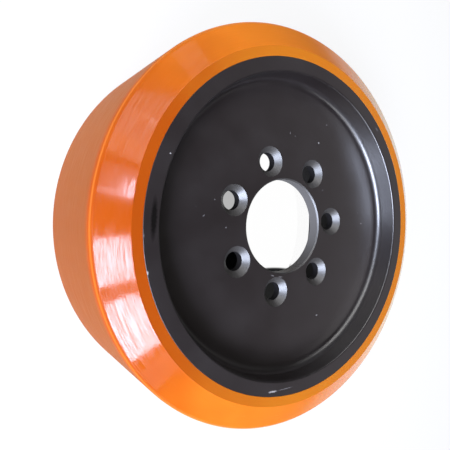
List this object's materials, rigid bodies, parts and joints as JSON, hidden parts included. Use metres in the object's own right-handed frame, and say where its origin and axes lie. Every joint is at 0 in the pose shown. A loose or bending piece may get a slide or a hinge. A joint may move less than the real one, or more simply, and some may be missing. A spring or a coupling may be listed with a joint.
{
  "type": "forklift drive wheel",
  "caption": "Drive wheel with a wide orange polyurethane tread with sloping shoulders, bonded to a black dished hub with a centre bore and a ring of countersunk bolt holes.",
  "frame": {"origin": "on the wheel's axis, in the middle of its width", "axes": "+Z along the wheel's axis, out of the front face; +X through the first bolt hole"},
  "size_m": [0.343, 0.3428, 0.14],
  "materials": {
    "hub_paint": "satin black paint on a turned casting",
    "tread_polyurethane": "turned polyurethane, semi-gloss shoulder and matt running face"
  },
  "bodies": {
    "root": {"hub": "hub_paint", "tread": "tread_polyurethane"}
  },
  "joints": []
}
